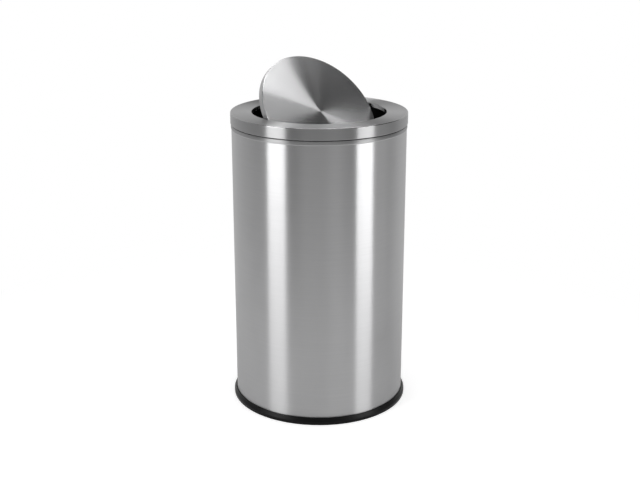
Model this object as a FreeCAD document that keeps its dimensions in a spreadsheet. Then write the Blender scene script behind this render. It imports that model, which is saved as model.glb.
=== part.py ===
import FreeCAD, Part
import Sketcher
import math
import os

# Swing-top bin: a round steel body on a black foot ring, a ring-shaped lid that
# lifts off, and a disc flap that tips about a rod across the lid's opening.
# Millimetres, +Z up. The origin is the middle of the floor under the bin. The rod
# lies along X, and the flap stands part open with its front edge (-Y) down.

# Driving dimensions: alias, value, meaning.
DIMENSIONS = [
    ("body_radius", 188.0, "outside of the rolled body"),
    ("body_gauge", 0.9, "body sheet"),
    ("body_top", 619.9, "top of the body's folded rim above the floor"),
    ("hem_height", 8.8, "height of the folded rim"),
    ("hem_gap", 0.2, "space inside the fold"),
    ("fold_land", 0.15, "flat left on each half of the fold's crest"),
    ("trim_web", 4.0, "foot ring under the body's edge"),
    ("trim_height", 15.0, "foot ring above the floor"),
    ("trim_flare", 6.5, "foot ring beyond the body at the floor"),
    ("trim_lip", 2.4, "foot ring's thickness at its top edge"),
    ("trim_slope", 8.5, "height of the foot ring's sloping part"),
    ("trim_leg", 5.0, "thickness of the foot ring's inner leg"),
    ("trim_fit", 0.1, "clearance in the foot ring's channel"),
    ("trim_round", 5.0, "rounding of the foot ring's shoulder"),
    ("trim_edge", 0.6, "rounding of the foot ring's outer edges"),
    ("base_gauge", 1.0, "base pan sheet"),
    ("pan_depth", 10.0, "base pan's floor above its lower edge"),
    ("pan_bend", 1.5, "inner bend radius of the base pan"),
    ("pan_gap", 2.0, "base pan's floor above the foot ring's leg"),
    ("weld_gap", 0.1, "space between welded skins"),
    ("liner_wall", 2.2, "liner wall"),
    ("liner_floor", 3.0, "liner floor"),
    ("liner_taper", 11.0, "how much narrower the liner's base is than its mouth"),
    ("liner_proud", 11.1, "liner's rim above the body's rim"),
    ("liner_reach", 6.5, "liner's rim beyond its wall"),
    ("liner_drop", 10.0, "depth of the liner's turned-down rim"),
    ("liner_play", 1.6, "space between the liner's rim and the lid's collar"),
    ("liner_round", 6.0, "inner rounding of the liner's floor"),
    ("liner_edge", 0.9, "rounding of the liner's rim"),
    ("lid_overhang", 2.0, "lid skirt beyond the body"),
    ("lid_gauge", 1.0, "lid sheet"),
    ("seat_gap", 0.3, "space between the lid's seal and the body's rim"),
    ("seal_height", 1.5, "lid's seal and its glue, from the seal's foot to the ledge"),
    ("seal_glue", 0.1, "glue line between the seal and the lid's ledge"),
    ("seal_inset", 0.9, "seal in from the outside of the body's rim"),
    ("skirt_height", 24.7, "lid skirt"),
    ("crown_bend", 0.8, "inner bend radius at the lid's outer edge"),
    ("lid_bend", 0.6, "inner bend radius of the lip and the skirt's lower edge"),
    ("flange_width", 45.8, "lid's flat top, from its outside to the opening"),
    ("lip_depth", 9.0, "lip turned down round the opening"),
    ("ear_drop", 5.5, "lip's ears below the rod's axis"),
    ("ear_width", 16.0, "lip's ears along the lip"),
    ("lid_play", 1.5, "space between the lid's collar and the body"),
    ("collar_gauge", 1.0, "collar sheet"),
    ("collar_drop", 24.0, "collar below the lid's seat"),
    ("ledge_gap", 0.4, "space between the skirt's ledge and the collar"),
    ("collar_inset", 0.9, "space between the collar's flange and the skirt"),
    ("axle_radius", 2.0, "pivot rod"),
    ("axle_fit", 0.05, "radial running fit of the pivot rod"),
    ("axle_tail", 3.0, "rod beyond its washer on the capped side"),
    ("bend_radius", 5.0, "centre line of the rod's bent end"),
    ("stop_leg", 30.0, "rod's bent end, which stops the swing, below its axis"),
    ("cap_wall", 2.3, "wall of the push-on cap"),
    ("cap_clear", 0.5, "space between the cap and the lid above it"),
    ("cap_crown", 1.5, "cap beyond the rod's end"),
    ("bush_wall", 0.7, "bush sleeve's wall"),
    ("bush_step", 1.2, "bush collar beyond its sleeve"),
    ("bush_fit", 0.05, "radial clearance of the bush in the lip"),
    ("bush_seat", 0.2, "space between the bush's flat collar and the round lip"),
    ("barb_rise", 0.5, "height of the bush's snap ridge"),
    ("barb_length", 1.5, "length of the bush's snap ridge"),
    ("barb_gap", 0.3, "snap ridge beyond the lip"),
    ("bush_tail", 1.5, "bush beyond its snap ridge"),
    ("end_play", 0.3, "flap's play along the rod at each end"),
    ("washer_gauge", 1.0, "rod washers"),
    ("washer_wall", 2.2, "rod washers' width"),
    ("flap_gap", 3.0, "space between the flap's rim and the lip"),
    ("flap_gauge", 1.0, "flap sheet"),
    ("flap_rise", 7.1, "flap's top face above the rod's axis"),
    ("flap_depth", 14.1, "depth of the flap's turned-down rim"),
    ("flap_bend", 1.5, "inner bend radius at the flap's edge"),
    ("rest_tilt", 49.7, "flap's tilt at rest, in degrees"),
    ("saddle_inset", 36.0, "rod saddles in from the flap's edge"),
    ("saddle_width", 14.0, "rod saddles along the rod"),
    ("saddle_gauge", 1.2, "saddle strap"),
    ("saddle_foot", 11.0, "each foot of a saddle"),
    ("pin_radius", 0.75, "roll pins through the saddles and the rod"),
    ("pin_fit", 0.03, "radial clearance of the roll pins"),
    ("pin_tail", 0.6, "roll pins beyond the saddles' sides"),
    ("weight_length", 90.0, "counterweight between its hangers"),
    ("weight_radius", 12.0, "counterweight bar"),
    ("weight_drop", 24.0, "counterweight's axis below the rod's axis"),
    ("weight_edge", 1.0, "chamfer of the counterweight's ends"),
    ("hanger_gauge", 2.5, "hanger plates"),
    ("hanger_width", 22.0, "hanger plates across"),
    ("spigot_radius", 3.0, "counterweight's threaded spigots"),
    ("spigot_fit", 0.1, "radial clearance on the spigots"),
    ("spigot_tail", 1.5, "spigots beyond their nuts"),
    ("nut_flats", 10.0, "weight nuts across flats"),
    ("nut_height", 5.0, "weight nuts"),
    ("lock_gauge", 1.2, "weight nuts' washers"),
    ("lock_radius", 6.2, "outside of the weight nuts' washers"),
]

ALONG_X = FreeCAD.Rotation(FreeCAD.Vector(0, 1, 0), 90)
ALONG_Y = FreeCAD.Rotation(FreeCAD.Vector(1, 0, 0), -90)
HALF_TURN = FreeCAD.Rotation(FreeCAD.Vector(0, 0, 1), 180)
UP, LEFT, FRONT = FreeCAD.Vector(0, 0, 1), FreeCAD.Vector(-1, 0, 0), FreeCAD.Vector(0, -1, 0)
TOP_TO_LEFT = FreeCAD.Rotation(UP, LEFT, FRONT, "XYZ")
NO_TURN = FreeCAD.Rotation()
SIDES = (("left", -1, HALF_TURN), ("right", 1, NO_TURN))
MATCH = 1e-4

doc = FreeCAD.newDocument("SwingTopBin")
sheet = doc.addObject("Spreadsheet::Sheet", "Dims")
for row, (alias, number, meaning) in enumerate(DIMENSIONS, 1):
    sheet.set(f"A{row}", meaning)
    sheet.set(f"B{row}", str(number))
    sheet.setAlias(f"B{row}", alias)
doc.recompute()


class Size:
    """A length that carries its value and the expression that binds it to the sheet."""

    def __init__(self, value, text):
        self.value = value
        self.text = text

    def __add__(self, other):
        return Size(self.value + other.value, f"({self.text} + {other.text})")

    def __sub__(self, other):
        return Size(self.value - other.value, f"({self.text} - {other.text})")

    def __mul__(self, factor):
        return Size(self.value * factor, f"({self.text} * {factor})")

    def __truediv__(self, factor):
        return Size(self.value / factor, f"({self.text} / {factor})")

    def __neg__(self):
        return self * -1


def dim(alias):
    """One driving dimension of the sheet."""
    return Size(sheet.get(alias), f"Dims.{alias}")


NONE = Size(0.0, "0")

# Heights and radii that several pieces share.
body_outer = dim("body_radius")
body_inner = body_outer - dim("body_gauge")
hem_inner = body_outer + dim("hem_gap")
hem_outer = hem_inner + dim("body_gauge")
body_top = dim("body_top")
shell_foot = dim("trim_web")
pan_outer = body_inner - dim("weld_gap")
pan_inner = pan_outer - dim("base_gauge")
base_level = shell_foot + dim("pan_depth")
pan_under = base_level - dim("base_gauge")

seal_foot = body_top + dim("seat_gap")
lid_seat = seal_foot + dim("seal_height")
ledge_top = lid_seat + dim("lid_gauge")
lid_top = lid_seat + dim("skirt_height")
lid_under = lid_top - dim("lid_gauge")
lid_outer = body_outer + dim("lid_overhang")
lid_inner = lid_outer - dim("lid_gauge")
opening = lid_outer - dim("flange_width")
lip_back = opening + dim("lid_gauge")
collar_outer = body_inner - dim("lid_play")
collar_inner = collar_outer - dim("collar_gauge")
ledge_inner = collar_outer + dim("ledge_gap")

cap_radius = dim("axle_radius") + dim("cap_wall")
pivot_height = lid_under - cap_radius - dim("cap_clear")
rod_bore = dim("axle_radius") + dim("axle_fit")
flap_radius = opening - dim("flap_gap")
flap_under = dim("flap_rise") - dim("flap_gauge")
sleeve_radius = rod_bore + dim("bush_wall")
bush_start = flap_radius + dim("end_play")
bush_face = opening - dim("bush_seat")
barb_start = lip_back + dim("barb_gap")
barb_end = barb_start + dim("barb_length")
bush_end = barb_end + dim("bush_tail")
washer_start = bush_end + dim("end_play")
washer_end = washer_start + dim("washer_gauge")
rod_end = washer_end + dim("axle_tail")

saddle_place = flap_radius - dim("saddle_inset")
saddle_half = rod_bore + dim("saddle_gauge")
pin_half = saddle_half + dim("pin_tail")
pin_bore = dim("pin_radius") + dim("pin_fit")

hanger_inner = dim("weight_length") / 2
hanger_outer = hanger_inner + dim("hanger_gauge")
lock_end = hanger_outer + dim("lock_gauge")
nut_end = lock_end + dim("nut_height")
spigot_bore = dim("spigot_radius") + dim("spigot_fit")

subparts = []


def new_body(label):
    """A sub-part that is made by sketches and features."""
    body = doc.addObject("PartDesign::Body", label)
    body.Label = label
    subparts.append(body)
    return body


def pin(sketch, kind, corner, size, axis):
    """Hold one corner of an outline at a bound distance from the sketch's origin."""
    if size is NONE:
        sketch.addConstraint(Sketcher.Constraint("PointOnObject", corner, 1, axis))
        return
    index = sketch.addConstraint(Sketcher.Constraint(kind, -1, 1, corner, 1, size.value))
    sketch.setExpression(f"Constraints[{index}]", size.text)


def sketch_on(body, name, role):
    """An empty sketch on one of the body's own origin planes."""
    sketch = body.newObject("Sketcher::SketchObject", name)
    plane = next(item for item in body.Origin.OriginFeatures if item.Role == role)
    sketch.AttachmentSupport = (plane, [""])
    sketch.MapMode = "FlatFace"
    return sketch


def outline(body, name, corners):
    """A closed outline in the XZ plane through corners of (X, Z) sizes."""
    sketch = sketch_on(body, name, "XZ_Plane")
    spots = [FreeCAD.Vector(across.value, up.value, 0) for across, up in corners]
    count = len(corners)
    for k in range(count):
        sketch.addGeometry(Part.LineSegment(spots[k], spots[(k + 1) % count]))
    for k in range(count):
        sketch.addConstraint(Sketcher.Constraint("Coincident", k, 2, (k + 1) % count, 1))
    for k, (across, up) in enumerate(corners):
        pin(sketch, "DistanceX", k, across, -2)
        pin(sketch, "DistanceY", k, up, -1)
    return sketch


def turned(body, name, corners, axis="V_Axis"):
    """A solid of revolution of an outline about the sketch's upright or level axis."""
    sketch = outline(body, name + "_outline", corners)
    solid = body.newObject("PartDesign::Revolution", name)
    solid.Profile = sketch
    solid.ReferenceAxis = (sketch, [axis])
    solid.Angle = 360
    doc.recompute()
    return solid


def rounded(body, name, base, rings, radius):
    """Round the circular edges of a turned solid that lie at rings of (radius, height)."""
    names = []
    for index, edge in enumerate(base.Shape.Edges, 1):
        if not isinstance(edge.Curve, Part.Circle):
            continue
        for ring, height in rings:
            off_ring = abs(edge.Curve.Radius - ring.value)
            off_height = abs(edge.Curve.Center.z - height.value)
            if max(off_ring, off_height) < MATCH:
                names.append(f"Edge{index}")
    if len(names) != len(rings):
        raise RuntimeError(f"{name}: found {len(names)} of {len(rings)} edges")
    fillet = body.newObject("PartDesign::Fillet", name)
    fillet.Base = (base, names)
    fillet.setExpression("Radius", radius.text)
    doc.recompute()
    return fillet


def cross_bored(body, name, height, radius, reach):
    """Bore along X through both sides of a ring, out to a reach on each side."""
    before = body.Shape.Volume
    sketch = sketch_on(body, name + "_outline", "YZ_Plane")
    centre = FreeCAD.Vector(0, height.value, 0)
    sketch.addGeometry(Part.Circle(centre, FreeCAD.Vector(0, 0, 1), radius.value))
    sketch.addConstraint(Sketcher.Constraint("PointOnObject", 0, 3, -2))
    if height is NONE:
        sketch.addConstraint(Sketcher.Constraint("PointOnObject", 0, 3, -1))
    else:
        level = sketch.addConstraint(Sketcher.Constraint("DistanceY", -1, 1, 0, 3, height.value))
        sketch.setExpression(f"Constraints[{level}]", height.text)
    width = sketch.addConstraint(Sketcher.Constraint("Radius", 0, radius.value))
    sketch.setExpression(f"Constraints[{width}]", radius.text)
    pocket = body.newObject("PartDesign::Pocket", name)
    pocket.Profile = sketch
    pocket.SideType = "Symmetric"
    pocket.setExpression("Length", (reach * 2).text)
    doc.recompute()
    if body.Shape.Volume >= before:
        raise RuntimeError(f"{name} cuts nothing")
    return pocket


def primitive(kind, name, **sizes):
    """A Part primitive with its sizes bound to the sheet."""
    item = doc.addObject("Part::" + kind, name)
    for prop, size in sizes.items():
        item.setExpression(prop, size.text)
    return item


def move(item, x=NONE, y=NONE, z=NONE, turn=NO_TURN):
    """Turn a primitive and bind its place."""
    item.Placement = FreeCAD.Placement(FreeCAD.Vector(), turn)
    for letter, size in (("x", x), ("y", y), ("z", z)):
        item.setExpression("Placement.Base." + letter, size.text)
    return item


def rod(name, radius, start, length, z=NONE):
    """A cylinder along X from a start."""
    return move(primitive("Cylinder", name, Radius=radius, Height=length), start, NONE, z, ALONG_X)


def cross_pin(name, radius, x):
    """A cylinder across the rod's axis at a place along it."""
    return move(primitive("Cylinder", name, Radius=radius, Height=pin_half * 2), x, -pin_half, NONE, ALONG_Y)


def block(name, start, sizes):
    """A box from its lowest corner."""
    length, width, height = sizes
    return move(primitive("Box", name, Length=length, Width=width, Height=height), *start)


def joined(name, items):
    """Items joined into one solid."""
    fuse = doc.addObject("Part::MultiFuse", name)
    fuse.Shapes = items
    return fuse


def cut(name, base, tools):
    """A base with tools cut out of it."""
    tool = tools[0] if len(tools) == 1 else joined(name + "_tools", tools)
    result = doc.addObject("Part::Cut", name)
    result.Base = base
    result.Tool = tool
    return result


def keep(item, label):
    """Give a finished item its name as a sub-part."""
    item.Label = label
    subparts.append(item)
    return item


def group(label, items):
    """Separate identical solids that share one name."""
    bundle = doc.addObject("Part::Compound", label)
    bundle.Links = items
    return keep(bundle, label)


def on_pivot(item, turn=NO_TURN):
    """Seat a lid piece that was drawn about the rod's axis."""
    item.Placement = FreeCAD.Placement(FreeCAD.Vector(), turn)
    item.setExpression("Placement.Base.z", pivot_height.text)


def on_flap(item):
    """Seat a flap piece that was drawn about the rod's axis, and tilt it as it rests."""
    tilt = FreeCAD.Rotation(FreeCAD.Vector(1, 0, 0), dim("rest_tilt").value)
    item.Placement = FreeCAD.Placement(FreeCAD.Vector(), tilt)
    item.setExpression("Placement.Base.z", pivot_height.text)
    item.setExpression("Placement.Rotation.Angle", dim("rest_tilt").text)


def make_body_shell():
    """Rolled steel tube with its top edge folded outwards."""
    body = new_body("body_shell")
    fold_under = body_top - dim("body_gauge")
    hem_foot = body_top - dim("hem_height")
    tube = turned(body, "shell_tube", [
        (body_inner, shell_foot),
        (body_outer, shell_foot),
        (body_outer, fold_under),
        (hem_inner, fold_under),
        (hem_inner, hem_foot),
        (hem_outer, hem_foot),
        (hem_outer, body_top),
        (body_inner, body_top),
    ])
    crest = dim("body_gauge") + dim("hem_gap") / 2 - dim("fold_land")
    rounded(body, "shell_fold", tube, [(body_inner, body_top), (hem_outer, body_top)], crest)


def make_base_pan():
    """Pressed floor with a flange turned down inside the body."""
    body = new_body("base_pan")
    pan = turned(body, "pan_press", [
        (NONE, pan_under),
        (pan_inner, pan_under),
        (pan_inner, shell_foot),
        (pan_outer, shell_foot),
        (pan_outer, base_level),
        (NONE, base_level),
    ])
    bent = rounded(body, "pan_inner_bend", pan, [(pan_inner, pan_under)], dim("pan_bend"))
    outer_bend = dim("pan_bend") + dim("base_gauge")
    rounded(body, "pan_outer_bend", bent, [(pan_outer, base_level)], outer_bend)


def make_base_trim():
    """Black foot ring with a channel for the edges of the body and the base pan."""
    body = new_body("base_trim")
    outer = body_outer + dim("trim_flare")
    channel_outer = body_outer + dim("trim_fit")
    channel_inner = pan_inner - dim("trim_fit")
    leg_inner = channel_inner - dim("trim_leg")
    leg_top = pan_under - dim("pan_gap")
    lip_outer = channel_outer + dim("trim_lip")
    shoulder = dim("trim_height") - dim("trim_slope")
    ring = turned(body, "trim_ring", [
        (leg_inner, NONE),
        (outer, NONE),
        (outer, shoulder),
        (lip_outer, dim("trim_height")),
        (channel_outer, dim("trim_height")),
        (channel_outer, shell_foot),
        (channel_inner, shell_foot),
        (channel_inner, leg_top),
        (leg_inner, leg_top),
    ])
    soft = rounded(body, "trim_shoulder", ring, [(outer, shoulder)], dim("trim_round"))
    edges = [(outer, NONE), (lip_outer, dim("trim_height"))]
    rounded(body, "trim_edges", soft, edges, dim("trim_edge"))


def make_liner():
    """Black tapered bucket that stands on the base pan and takes the refuse."""
    body = new_body("liner_bucket")
    rim_outer = collar_inner - dim("liner_play")
    rim_inner = rim_outer - dim("liner_wall")
    mouth_outer = rim_outer - dim("liner_reach")
    mouth_inner = mouth_outer - dim("liner_wall")
    base_outer = mouth_outer - dim("liner_taper")
    base_inner = base_outer - dim("liner_wall")
    floor_top = base_level + dim("liner_floor")
    rim_top = body_top + dim("liner_proud")
    rim_under = rim_top - dim("liner_wall")
    rim_foot = rim_top - dim("liner_drop")
    bucket = turned(body, "liner_wall", [
        (NONE, base_level),
        (base_outer, base_level),
        (mouth_outer, rim_under),
        (rim_inner, rim_under),
        (rim_inner, rim_foot),
        (rim_outer, rim_foot),
        (rim_outer, rim_top),
        (mouth_inner, rim_top),
        (base_inner, floor_top),
        (NONE, floor_top),
    ])
    inside = rounded(body, "liner_floor_inside", bucket, [(base_inner, floor_top)], dim("liner_round"))
    outside = rounded(body, "liner_floor_outside", inside, [(base_outer, base_level)],
                      dim("liner_round") + dim("liner_wall"))
    rounded(body, "liner_rim", outside, [(rim_outer, rim_top), (mouth_inner, rim_top)], dim("liner_edge"))


def make_lid_ring():
    """Pressed lid: flat ring, skirt with an inward ledge, and a lip with two ears."""
    body = new_body("lid_ring")
    lip_foot = lid_top - dim("lip_depth")
    ring = turned(body, "lid_press", [
        (opening, lip_foot),
        (lip_back, lip_foot),
        (lip_back, lid_under),
        (lid_inner, lid_under),
        (lid_inner, ledge_top),
        (ledge_inner, ledge_top),
        (ledge_inner, lid_seat),
        (lid_outer, lid_seat),
        (lid_outer, lid_top),
        (opening, lid_top),
    ])
    gauge = dim("lid_gauge")
    crown = rounded(body, "crown_outside", ring, [(lid_outer, lid_top)], dim("crown_bend") + gauge)
    crown = rounded(body, "crown_inside", crown, [(lid_inner, lid_under)], dim("crown_bend"))
    small_outer = [(opening, lid_top), (lid_outer, lid_seat)]
    small_inner = [(lip_back, lid_under), (lid_inner, ledge_top)]
    bends = rounded(body, "small_bends_outside", crown, small_outer, dim("lid_bend") + gauge)
    rounded(body, "small_bends_inside", bends, small_inner, dim("lid_bend"))
    make_ears(body, lip_foot)
    bore_radius = sleeve_radius + dim("bush_fit")
    cross_bored(body, "bush_holes", pivot_height, bore_radius, barb_end)


def make_ears(body, lip_foot):
    """Ears where the lip runs lower round the two bush holes, one at each end of the rod."""
    ear_foot = pivot_height - dim("ear_drop")
    half_width = dim("ear_width") / 2
    for side, sign, _ in SIDES:
        corners = [
            (opening * sign, ear_foot),
            (lip_back * sign, ear_foot),
            (lip_back * sign, lip_foot),
            (opening * sign, lip_foot),
        ]
        ear = body.newObject("PartDesign::Revolution", f"ear_{side}")
        ear.Profile = outline(body, f"ear_{side}_outline", corners)
        ear.ReferenceAxis = (ear.Profile[0], ["V_Axis"])
        ear.Midplane = True
        ear.setExpression("Angle", f"2 * asin({half_width.text} / {opening.text})")
        doc.recompute()


def make_lid_collar():
    """Collar welded on the lid's ledge, which centres the lid in the body's mouth."""
    body = new_body("lid_collar")
    flange_outer = lid_inner - dim("collar_inset")
    flange_top = ledge_top + dim("collar_gauge")
    foot = lid_seat - dim("collar_drop")
    turned(body, "collar_press", [
        (collar_inner, foot),
        (collar_outer, foot),
        (collar_outer, ledge_top),
        (flange_outer, ledge_top),
        (flange_outer, flange_top),
        (collar_inner, flange_top),
    ])


def make_lid_seal():
    """Rubber ring glued under the lid's ledge, which sits on the body's rim."""
    body = new_body("lid_seal")
    seal_outer = hem_outer - dim("seal_inset")
    seal_top = lid_seat - dim("seal_glue")
    turned(body, "seal_moulding", [
        (ledge_inner, seal_foot),
        (seal_outer, seal_foot),
        (seal_outer, seal_top),
        (ledge_inner, seal_top),
    ])


def make_pivot_bush(side, turn):
    """Snap-in bush in the lip, whose collar keeps the flap off the lip."""
    body = new_body(f"pivot_bush_{side}")
    collar_radius = sleeve_radius + dim("bush_step")
    turned(body, f"bush_{side}_turning", [
        (bush_start, rod_bore),
        (bush_start, collar_radius),
        (bush_face, collar_radius),
        (bush_face, sleeve_radius),
        (barb_start, sleeve_radius),
        (barb_start, sleeve_radius + dim("barb_rise")),
        (barb_end, sleeve_radius),
        (bush_end, sleeve_radius),
        (bush_end, rod_bore),
    ], "H_Axis")
    on_pivot(body, turn)


def make_flap_disc():
    """Spun disc with a turned-down rim, bored for the rod."""
    body = new_body("flap_disc")
    rim_inner = flap_radius - dim("flap_gauge")
    rim_foot = dim("flap_rise") - dim("flap_depth")
    disc = turned(body, "flap_spinning", [
        (NONE, flap_under),
        (rim_inner, flap_under),
        (rim_inner, rim_foot),
        (flap_radius, rim_foot),
        (flap_radius, dim("flap_rise")),
        (NONE, dim("flap_rise")),
    ])
    bent = rounded(body, "flap_inner_bend", disc, [(rim_inner, flap_under)], dim("flap_bend"))
    outer_bend = dim("flap_bend") + dim("flap_gauge")
    rounded(body, "flap_outer_bend", bent, [(flap_radius, dim("flap_rise"))], outer_bend)
    cross_bored(body, "rod_holes", NONE, rod_bore, flap_radius)
    on_flap(body)


def make_flap_axle():
    """Rod across the flap, with its left end bent down as a stop under the lid."""
    radius = dim("axle_radius")
    bend = dim("bend_radius")
    bend_start = washer_end + dim("end_play")
    straight = rod("axle_straight", radius, -bend_start, bend_start + rod_end)
    elbow = primitive("Torus", "axle_elbow", Radius1=bend, Radius2=radius)
    elbow.Angle3 = 90
    move(elbow, -bend_start, NONE, -bend, TOP_TO_LEFT)
    leg = primitive("Cylinder", "axle_leg", Radius=radius, Height=dim("stop_leg") - bend)
    move(leg, -(bend_start + bend), NONE, -dim("stop_leg"))
    bent = joined("axle_bent", [straight, elbow, leg])
    holes = [cross_pin(f"axle_pin_hole_{side}", pin_bore, saddle_place * sign) for side, sign, _ in SIDES]
    on_flap(keep(cut("axle_rod", bent, holes), "flap_axle"))


def make_axle_cap():
    """Push-on cap on the rod's right end."""
    length = dim("axle_tail") - dim("end_play") + dim("cap_crown")
    start = washer_end + dim("end_play")
    shell = rod("cap_shell", cap_radius, start, length)
    socket = rod("cap_socket", dim("axle_radius"), start, rod_end - start)
    on_flap(keep(cut("cap_cut", shell, [socket]), "axle_cap"))


def ring_piece(name, inner, outer, start, length, z=NONE):
    """A washer about an axis along X."""
    solid = rod(name + "_blank", outer, start, length, z)
    hole = rod(name + "_hole", inner, start, length, z)
    return cut(name, solid, [hole])


def make_axle_washers():
    """Washers between the bushes and the rod's ends."""
    outer = rod_bore + dim("washer_wall")
    gauge = dim("washer_gauge")
    right = ring_piece("axle_washer_right", rod_bore, outer, washer_start, gauge)
    left = ring_piece("axle_washer_left", rod_bore, outer, -washer_end, gauge)
    on_flap(group("axle_washers", [left, right]))


def make_axle_saddle(side, sign):
    """Strap welded under the disc that holds the rod up to it."""
    gauge = dim("saddle_gauge")
    width = dim("saddle_width")
    outer = saddle_half
    start = saddle_place * sign - width / 2
    half_foot = outer + dim("saddle_foot")
    foot_corner = (start, -half_foot, flap_under - gauge)
    feet = block(f"saddle_feet_{side}", foot_corner, (width, half_foot * 2, gauge))
    web = block(f"saddle_web_{side}", (start, -outer, NONE), (width, outer * 2, flap_under))
    round_end = rod(f"saddle_round_{side}", outer, start, width)
    slot = block(f"saddle_slot_{side}", (start, -rod_bore, NONE), (width, rod_bore * 2, flap_under))
    bore = rod(f"saddle_bore_{side}", rod_bore, start, width)
    pin_hole = cross_pin(f"saddle_pin_hole_{side}", pin_bore, saddle_place * sign)
    strap = joined(f"saddle_strap_{side}", [feet, web, round_end])
    on_flap(keep(cut(f"saddle_cut_{side}", strap, [slot, bore, pin_hole]), f"axle_saddle_{side}"))


def make_axle_pins():
    """Roll pins through the saddles and the rod, which make the rod turn with the flap."""
    pins = [cross_pin(f"axle_pin_{side}", dim("pin_radius"), saddle_place * sign) for side, sign, _ in SIDES]
    on_flap(group("axle_pins", pins))


def make_weight_hanger(side, sign):
    """Plate welded under the disc that carries one end of the counterweight."""
    gauge = dim("hanger_gauge")
    half_width = dim("hanger_width") / 2
    start = hanger_inner if sign > 0 else -hanger_outer
    drop = dim("weight_drop")
    plate_sizes = (gauge, half_width * 2, drop + flap_under)
    plate = block(f"hanger_plate_{side}", (start, -half_width, -drop), plate_sizes)
    round_end = rod(f"hanger_round_{side}", half_width, start, gauge, -drop)
    rod_hole = rod(f"hanger_rod_hole_{side}", rod_bore, start, gauge)
    spigot_hole = rod(f"hanger_spigot_hole_{side}", spigot_bore, start, gauge, -drop)
    blank = joined(f"hanger_blank_{side}", [plate, round_end])
    hanger = cut(f"hanger_cut_{side}", blank, [rod_hole, spigot_hole])
    on_flap(keep(hanger, f"weight_hanger_{side}"))


def make_counterweight():
    """Round bar below the rod, with a threaded spigot at each end, that closes the flap."""
    radius = dim("weight_radius")
    edge = dim("weight_edge")
    spigot = dim("spigot_radius")
    tip = nut_end + dim("spigot_tail")
    body = new_body("counterweight")
    turned(body, "weight_turning", [
        (-tip, NONE),
        (-tip, spigot),
        (-hanger_inner, spigot),
        (-hanger_inner, radius - edge),
        (edge - hanger_inner, radius),
        (hanger_inner - edge, radius),
        (hanger_inner, radius - edge),
        (hanger_inner, spigot),
        (tip, spigot),
        (tip, NONE),
    ], "H_Axis")
    hang_on_flap(body)


def hang_on_flap(body):
    """Seat a piece that was drawn about the counterweight's own axis."""
    tilt = FreeCAD.Rotation(FreeCAD.Vector(1, 0, 0), dim("rest_tilt").value)
    body.Placement = FreeCAD.Placement(FreeCAD.Vector(), tilt)
    drop = dim("weight_drop").text
    tilt_text = dim("rest_tilt").text
    body.setExpression("Placement.Base.y", f"{drop} * sin({tilt_text} * 1 deg)")
    body.setExpression("Placement.Base.z", f"{pivot_height.text} - {drop} * cos({tilt_text} * 1 deg)")
    body.setExpression("Placement.Rotation.Angle", tilt_text)


def make_weight_fasteners():
    """Washers and hexagon nuts that hold the counterweight to its hangers."""
    corner = dim("nut_flats") / math.sqrt(3)
    drop = -dim("weight_drop")
    washers = []
    nuts = []
    for side, sign, _ in SIDES:
        washer_at = hanger_outer if sign > 0 else -lock_end
        nut_at = lock_end if sign > 0 else -nut_end
        lock = ring_piece(f"lock_{side}", spigot_bore, dim("lock_radius"), washer_at, dim("lock_gauge"), drop)
        washers.append(lock)
        blank = primitive("Prism", f"nut_blank_{side}", Circumradius=corner, Height=dim("nut_height"))
        move(blank, nut_at, NONE, drop, ALONG_X)
        thread = rod(f"nut_thread_{side}", spigot_bore, nut_at, dim("nut_height"), drop)
        nuts.append(cut(f"nut_{side}", blank, [thread]))
    on_flap(group("weight_washers", washers))
    on_flap(group("weight_nuts", nuts))


make_body_shell()
make_base_pan()
make_base_trim()
make_liner()
make_lid_ring()
make_lid_collar()
make_lid_seal()
for side, sign, turn in SIDES:
    make_pivot_bush(side, turn)
make_flap_disc()
make_flap_axle()
make_axle_cap()
make_axle_washers()
for side, sign, turn in SIDES:
    make_axle_saddle(side, sign)
    make_weight_hanger(side, sign)
make_axle_pins()
make_counterweight()
make_weight_fasteners()
doc.recompute()

for item in doc.Objects:
    if "Invalid" in item.State or "Error" in item.State:
        raise RuntimeError(f"{item.Label} failed: {item.State}")
for item in subparts:
    if item.Shape.isNull() or not item.Shape.isValid() or not item.Shape.Solids:
        raise RuntimeError(f"{item.Label} has no valid solid")

os.makedirs("parts", exist_ok=True)
for item in subparts:
    item.Shape.exportStep(f"parts/{item.Label}.step")
    box = item.Shape.BoundBox
    print(f"{item.Label}: {len(item.Shape.Solids)} solid, {item.Shape.Volume:.0f} mm3, "
          f"x {box.XMin:.1f} {box.XMax:.1f} y {box.YMin:.1f} {box.YMax:.1f} z {box.ZMin:.1f} {box.ZMax:.1f}")
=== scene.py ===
"""Looks of a swing-top bin: brushed steel body, lid ring and tipping disc on a black foot ring.

Every shape is worked out in millimetres, as a profile turned round an axis or a section carried along a path,
and goes into its mesh in metres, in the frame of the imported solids.
"""

import logging
import math
from dataclasses import dataclass, replace
from enum import Enum
from functools import partial
from typing import Any, Sequence

import bpy
import numpy as np
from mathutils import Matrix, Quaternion, Vector


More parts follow.
